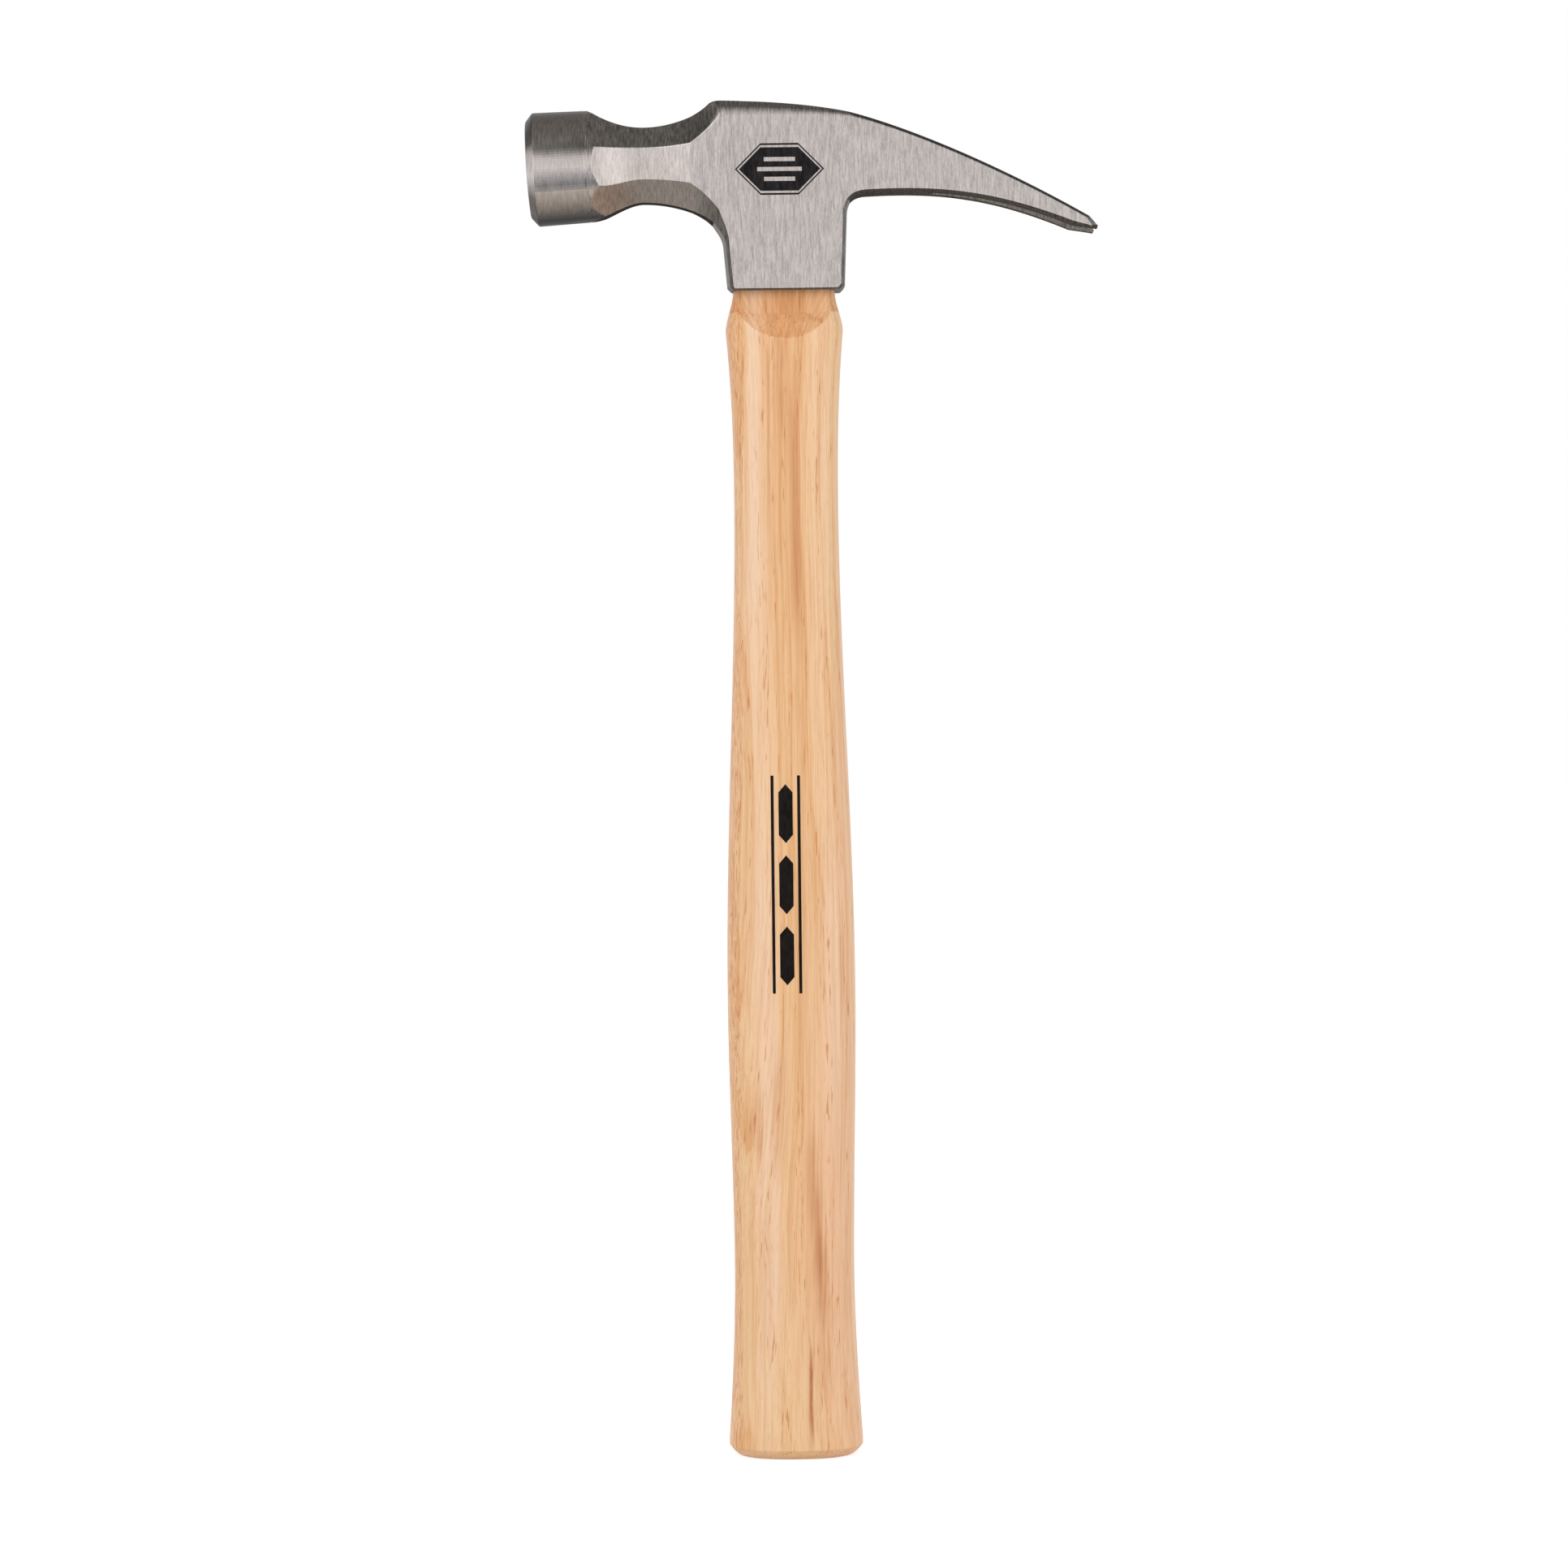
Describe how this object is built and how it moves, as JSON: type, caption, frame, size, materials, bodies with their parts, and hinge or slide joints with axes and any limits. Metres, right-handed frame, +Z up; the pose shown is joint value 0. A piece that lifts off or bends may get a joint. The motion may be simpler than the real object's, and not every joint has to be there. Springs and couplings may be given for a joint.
{
  "type": "framing hammer",
  "caption": "Framing hammer with a rip claw: forged head with round striking poll, eight-sided neck and boxed socket, wedged onto a straight oval wooden handle with a flared butt.",
  "frame": {"origin": "centre of the flat end of the butt", "axes": "+Z up the handle to the head, +X towards the claw, -X towards the striking face, the hammer's plane of symmetry is XZ"},
  "size_m": [0.1697, 0.0336, 0.406],
  "materials": {
    "forged_steel": "ground and lightly brushed, clear-coated",
    "hickory": "satin clear lacquer on pale straight-grained wood",
    "wedge_wood": "dry end grain",
    "wedge_steel": "dull dark steel"
  },
  "bodies": {
    "root": {"head": "forged_steel", "handle": "hickory", "wooden_wedge": "wedge_wood", "steel_wedge_face_side": "wedge_steel", "steel_wedge_claw_side": "wedge_steel"}
  },
  "joints": []
}
